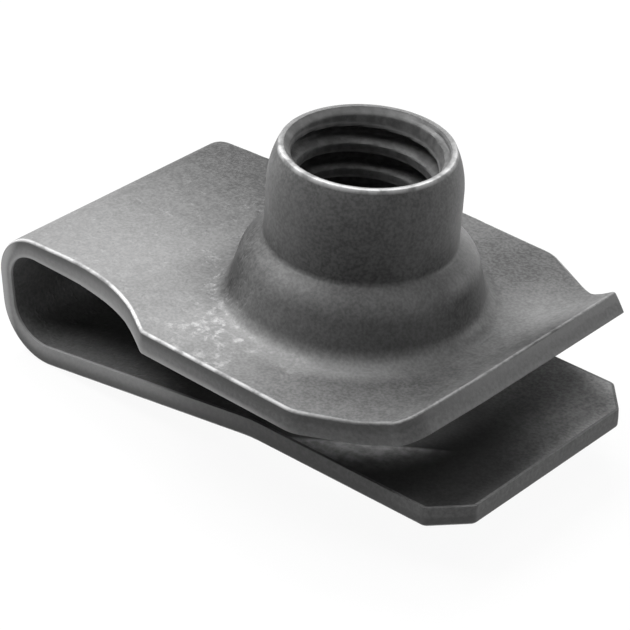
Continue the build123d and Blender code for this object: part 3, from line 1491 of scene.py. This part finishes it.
@dataclass(frozen=True)
class CutFinish(Finish):
    """The punched edge: a smooth sheared band under the rolled corner, and a rougher, lighter break.

    Ramps named by depth run from 0 at the outer face to 1 at the inner face.
    """

    name: str = "cut_edge"
    sheared: float = 0.042
    sheared_swing: float = 0.15
    broken: float = 0.066
    broken_swing: float = 0.2
    fleck: Noise = Noise(0.2, 3.0, 0.6)
    border_depth: Ramp = Ramp(0.4, 0.6)
    waver_size: float = 0.9
    waver: float = 0.28

    bare: float = 0.6
    # The cut is lighter towards the fold, more so towards its inner face.
    lighter_to_fold_along: Ramp = Ramp(-9.0, 4.0, 1.0, 0.0)
    lighter_to_fold_depth: Ramp = Ramp(0.1, 0.95, 0.03, 0.22)
    # A painted highlight on the outer half of the cut round the fold's back.
    fold_highlight_along: Ramp = Ramp(-17.0, -15.8, 0.38, 0.0)
    fold_highlight_depth: Ramp = Ramp(0.4, 0.95, 1.0, 0.2)

    # The burr is coloured lighter as a painted highlight along the cut's lower edge.
    burr: float = 0.28
    burr_waver: float = 0.3
    burr_depth: Ramp = Ramp(0.72, 0.96)
    burr_above: Ramp = Ramp(-6.2, -5.2)
    burr_along: Ramp = Ramp(1.0, 5.5, 0.75, 0.1)

    specular: float = 0.3
    roughness: Ramp = Ramp(0.0, 1.0, 0.45, 0.62)
    grit_size: float = 0.14
    grit_relief: Relief = Relief(0.25)

    def surface(self, bench: Bench) -> dict[str, object]:
        """Colours the sheared and the broken band, a stretch lighter towards the fold, a painted highlight
        round the fold's back and a painted highlight on the burr.

        Args:
            bench: The material's nodes.

        Returns:
            The shader's inputs.
        """
        x, _, z = bench.split()
        depth = bench.mark(DEPTH_MARK)
        waver = bench.product(bench.total(bench.grain(self.waver_size), -0.5), self.waver)
        share = bench.ramp(bench.total(depth, waver), self.border_depth)
        fleck = bench.noise(self.fleck)
        colour = bench.blend(
            share,
            self.flecked(bench, fleck, self.sheared, self.sheared_swing),
            self.flecked(bench, fleck, self.broken, self.broken_swing),
        )
        lighter_to_fold = bench.product(
            bench.ramp(x, self.lighter_to_fold_along.in_metres()), bench.ramp(depth, self.lighter_to_fold_depth)
        )
        # Painted highlight round the fold's back.
        fold_highlight = bench.product(
            bench.ramp(x, self.fold_highlight_along.in_metres()), bench.ramp(depth, self.fold_highlight_depth)
        )
        colour = bench.blend(bench.math("MAXIMUM", lighter_to_fold, fold_highlight), colour, grey(self.bare))
        # Painted highlight along the burr.
        burr = bench.product(
            bench.ramp(bench.total(depth, bench.product(waver, self.burr_waver)), self.burr_depth),
            bench.ramp(z, self.burr_above.in_metres()),
            bench.ramp(x, self.burr_along.in_metres()),
        )
        return {
            "Base Color": bench.blend(burr, colour, grey(self.burr)),
            "Roughness": bench.ramp(share, self.roughness),
            "Specular IOR Level": self.specular,
            "Normal": bench.bump(bench.grain(self.grit_size, 2.0), self.grit_relief),
        }

    @staticmethod
    def flecked(bench: Bench, fleck: Socket, tone: float, swing: float) -> Socket:
        """Gives a tone that the flecks swing up and down by a share of it."""
        return bench.blend(fleck, grey(tone * (1 - swing)), grey(tone * (1 + swing)))


@dataclass(frozen=True)
class ThreadFinish(Finish):
    """The tapped wall, darker, with oil lying in it, the edges of its crests bare from rubbing and lit as a
    painted highlight.
    """

    name: str = "tapped_thread"
    dark: float = 0.05
    light: float = 0.085
    # The tone of the bare crest edges, which also stands for a painted highlight.
    bare: float = 0.14
    tone: Noise = Noise(0.5, cut=Ramp(0.35, 0.7))
    wear_and_highlight: Noise = Noise(0.6, cut=Ramp(0.3, 0.6, 0.5, 1.0))
    specular: float = 0.12
    roughness: Ramp = Ramp(0.0, 1.0, 0.58, 0.46)
    chatter_size: float = 0.15
    chatter_relief: Relief = Relief(0.15)

    def surface(self, bench: Bench) -> dict[str, object]:
        """Colours the wall with its oil and the edges of its crests, bare from rubbing and lit as a painted
        highlight.

        Args:
            bench: The material's nodes.

        Returns:
            The shader's inputs.
        """
        tone = bench.noise(self.tone)
        coat = bench.blend(tone, grey(self.dark), grey(self.light))
        worn_and_highlit = bench.product(bench.mark(WEAR_AND_HIGHLIGHT_MARK), bench.noise(self.wear_and_highlight))
        return {
            "Base Color": bench.blend(worn_and_highlit, coat, grey(self.bare)),
            "Roughness": bench.ramp(tone, self.roughness),
            "Specular IOR Level": self.specular,
            "Normal": bench.bump(bench.grain(self.chatter_size, 2.0), self.chatter_relief),
        }


@dataclass
class ClipNut:
    """The whole nut: one piece of folded, drawn and tapped sheet."""

    strip: FoldedStrip = field(default_factory=FoldedStrip)
    sharp_from: float = 32.0
    face: PhosphateFinish = PhosphateFinish()
    cut: CutFinish = CutFinish()
    thread: ThreadFinish = ThreadFinish()

    def build(self) -> bpy.types.Object:
        """Makes the nut's mesh as one closed surface, dresses it and stands it in for the solid.

        Returns:
            The nut.
        """
        piece = self.folded_piece()
        weighted = piece.modifiers.new("even_shading", "WEIGHTED_NORMAL")
        weighted.keep_sharp = True
        finishes = {Zone.FACE: self.face, Zone.CUT: self.cut, Zone.THREAD: self.thread}
        for zone in Zone:
            piece.data.materials.append(finishes[zone].make())
        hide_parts(NODE)
        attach(piece, BODY)
        return piece

    def folded_piece(self) -> bpy.types.Object:
        """Makes the mesh, smooth but for its sharp edges.

        Returns:
            The piece, not dressed yet.
        """
        mesh = SheetMesh()
        self.strip.build(mesh)
        steel = mesh.steel
        bmesh.ops.recalc_face_normals(steel, faces=steel.faces)
        for edge in steel.edges:
            edge.smooth = edge.is_manifold and edge.calc_face_angle() < radians(self.sharp_from)
        for face in steel.faces:
            face.smooth = True
        data = bpy.data.meshes.new("folded_nut")
        steel.to_mesh(data)
        steel.free()
        piece = bpy.data.objects.new("folded_nut", data)
        bpy.context.scene.collection.objects.link(piece)
        return piece


@dataclass(frozen=True)
class SoftBox:
    """A soft square lamp that looks at the nut."""

    name: str
    place: Place
    size: float
    power: float

    def build(self) -> bpy.types.Object:
        """Hangs the lamp.

        Returns:
            The lamp.
        """
        data = bpy.data.lights.new(self.name, "AREA")
        data.shape = "SQUARE"
        data.size = self.size * MM
        data.energy = self.power
        lamp = bpy.data.objects.new(self.name, data)
        lamp.location = Vector(self.place) * MM
        lamp.rotation_euler = Vector(self.place).to_track_quat("Z", "Y").to_euler()
        bpy.context.scene.collection.objects.link(lamp)
        return lamp


@dataclass
class Studio:
    """The pale floor, the white ground behind it and the soft lamps."""

    floor_reach: float = 2000.0
    floor_gap: float = 0.02
    floor_tone: float = 0.52
    floor_dirt: float = 0.97
    floor_cloud: Noise = Noise(6.0, cut=Ramp(0.3, 0.7, 0.985, 1.0))
    floor_glow: float = 0.94
    ground_white: float = 1.0
    ambient: float = 0.03
    lamps: tuple[SoftBox, ...] = (
        SoftBox("back_lamp", (-132, 111, 246), 140, 1.1),
        SoftBox("side_lamp", (-190, 33, 230), 140, 0.86),
        SoftBox("front_lamp", (-135, -84, 254), 140, 0.92),
        SoftBox("top_lamp", (52, 0, 295), 140, 0.36),
        SoftBox("right_lamp", (141, 244, 103), 140, 0.34),
    )

    def build(self) -> None:
        """Lays the floor, lights the ground and hangs the lamps."""
        self.lay_floor()
        self.light_ground()
        for lamp in self.lamps:
            lamp.build()

    def lay_floor(self) -> None:
        """Lays the floor under the nut's lowest point."""
        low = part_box(NODE)[0].z - self.floor_gap * MM
        reach = self.floor_reach * MM
        data = bpy.data.meshes.new("floor")
        corners = [(-reach, -reach, low), (reach, -reach, low), (reach, reach, low), (-reach, reach, low)]
        data.from_pydata(corners, [], [(0, 1, 2, 3)])
        data.materials.append(self.floor_finish())
        floor = bpy.data.objects.new("floor", data)
        bpy.context.scene.collection.objects.link(floor)

    def floor_finish(self) -> bpy.types.Material:
        """Makes the floor's finish: nearly white to the eye, and matt where the nut's shadow falls.

        Returns:
            The material.
        """
        material = bpy.data.materials.new("pale_floor")
        material.use_nodes = True
        bench = Bench(material.node_tree)
        tone = bench.noise(self.floor_cloud)
        colour = bench.blend(tone, grey(self.floor_tone * self.floor_dirt), grey(self.floor_tone))
        matt = bench.add("BsdfDiffuse", {"Color": colour})
        glow = bench.add("Emission", {"Color": grey(1.0), "Strength": self.ground_white})
        share = bench.product(bench.to_the_eye(), self.floor_glow)
        both = bench.add("MixShader", {0: share, 1: matt.outputs[0], 2: glow.outputs[0]})
        bench.add("OutputMaterial", {"Surface": both.outputs[0]})
        return material

    def light_ground(self) -> None:
        """Makes the world white to the eye, also through glass, and dim as a light."""
        world = bpy.data.worlds.new("white_ground")
        world.use_nodes = True
        bpy.context.scene.world = world
        bench = Bench(world.node_tree)
        through = bench.add("LightPath").outputs["Is Transmission Ray"]
        share = bench.math("MAXIMUM", bench.to_the_eye(), through)
        strength = bench.ramp(share, Ramp(0.0, 1.0, self.ambient, self.ground_white))
        ground = bench.add("Background", {"Color": grey(1.0), "Strength": strength})
        bench.add("OutputWorld", {"Surface": ground.outputs[0]})


@dataclass
class PhotoCamera:
    """The camera as the photograph was taken, worked out from the nut's edges."""

    image_width: int = 630
    focal_pixels: float = 2874.0
    sensor: float = 36.0
    azimuth: float = 38.584
    elevation: float = 31.98
    roll: float = 3.851
    distance: float = 141.87
    slide_right: float = 2.074
    slide_up: float = 1.104
    target_height: float = -2.7
    clip_end: float = 10000.0

    def build(self) -> bpy.types.Object:
        """Sets up the scene's camera.

        Returns:
            The camera.
        """
        turn, climb, roll = radians(self.azimuth), radians(self.elevation), radians(self.roll)
        back = Vector((sin(turn) * cos(climb), -cos(turn) * cos(climb), sin(climb)))
        level = Vector((cos(turn), sin(turn), 0))
        upright = back.cross(level)
        right = level * cos(roll) + upright * sin(roll)
        up = upright * cos(roll) - level * sin(roll)
        data = bpy.data.cameras.new("photo_camera")
        data.sensor_width = self.sensor
        data.lens = self.focal_pixels * self.sensor / self.image_width
        data.clip_start = MM
        data.clip_end = self.clip_end * MM
        camera = bpy.data.objects.new("photo_camera", data)
        spot = back * self.distance - right * self.slide_right - up * self.slide_up
        spot.z += self.target_height
        turned = Matrix((right, up, back)).transposed().to_4x4()
        camera.matrix_world = Matrix.Translation(spot * MM) @ turned
        bpy.context.scene.collection.objects.link(camera)
        bpy.context.scene.camera = camera
        return camera


def main() -> None:
    """Builds the nut, the studio and the camera."""
    logging.basicConfig(level=logging.INFO, format="%(message)s")
    bpy.context.scene.view_settings.view_transform = "Standard"
    nut = ClipNut().build()
    log.info("%s: %d faces", nut.name, len(nut.data.polygons))
    Studio().build()
    log.info("studio: floor, ground and lamps")
    camera = PhotoCamera().build()
    log.info("%s: %.1f mm lens", camera.name, camera.data.lens)


if __name__ == "__main__":
    main()
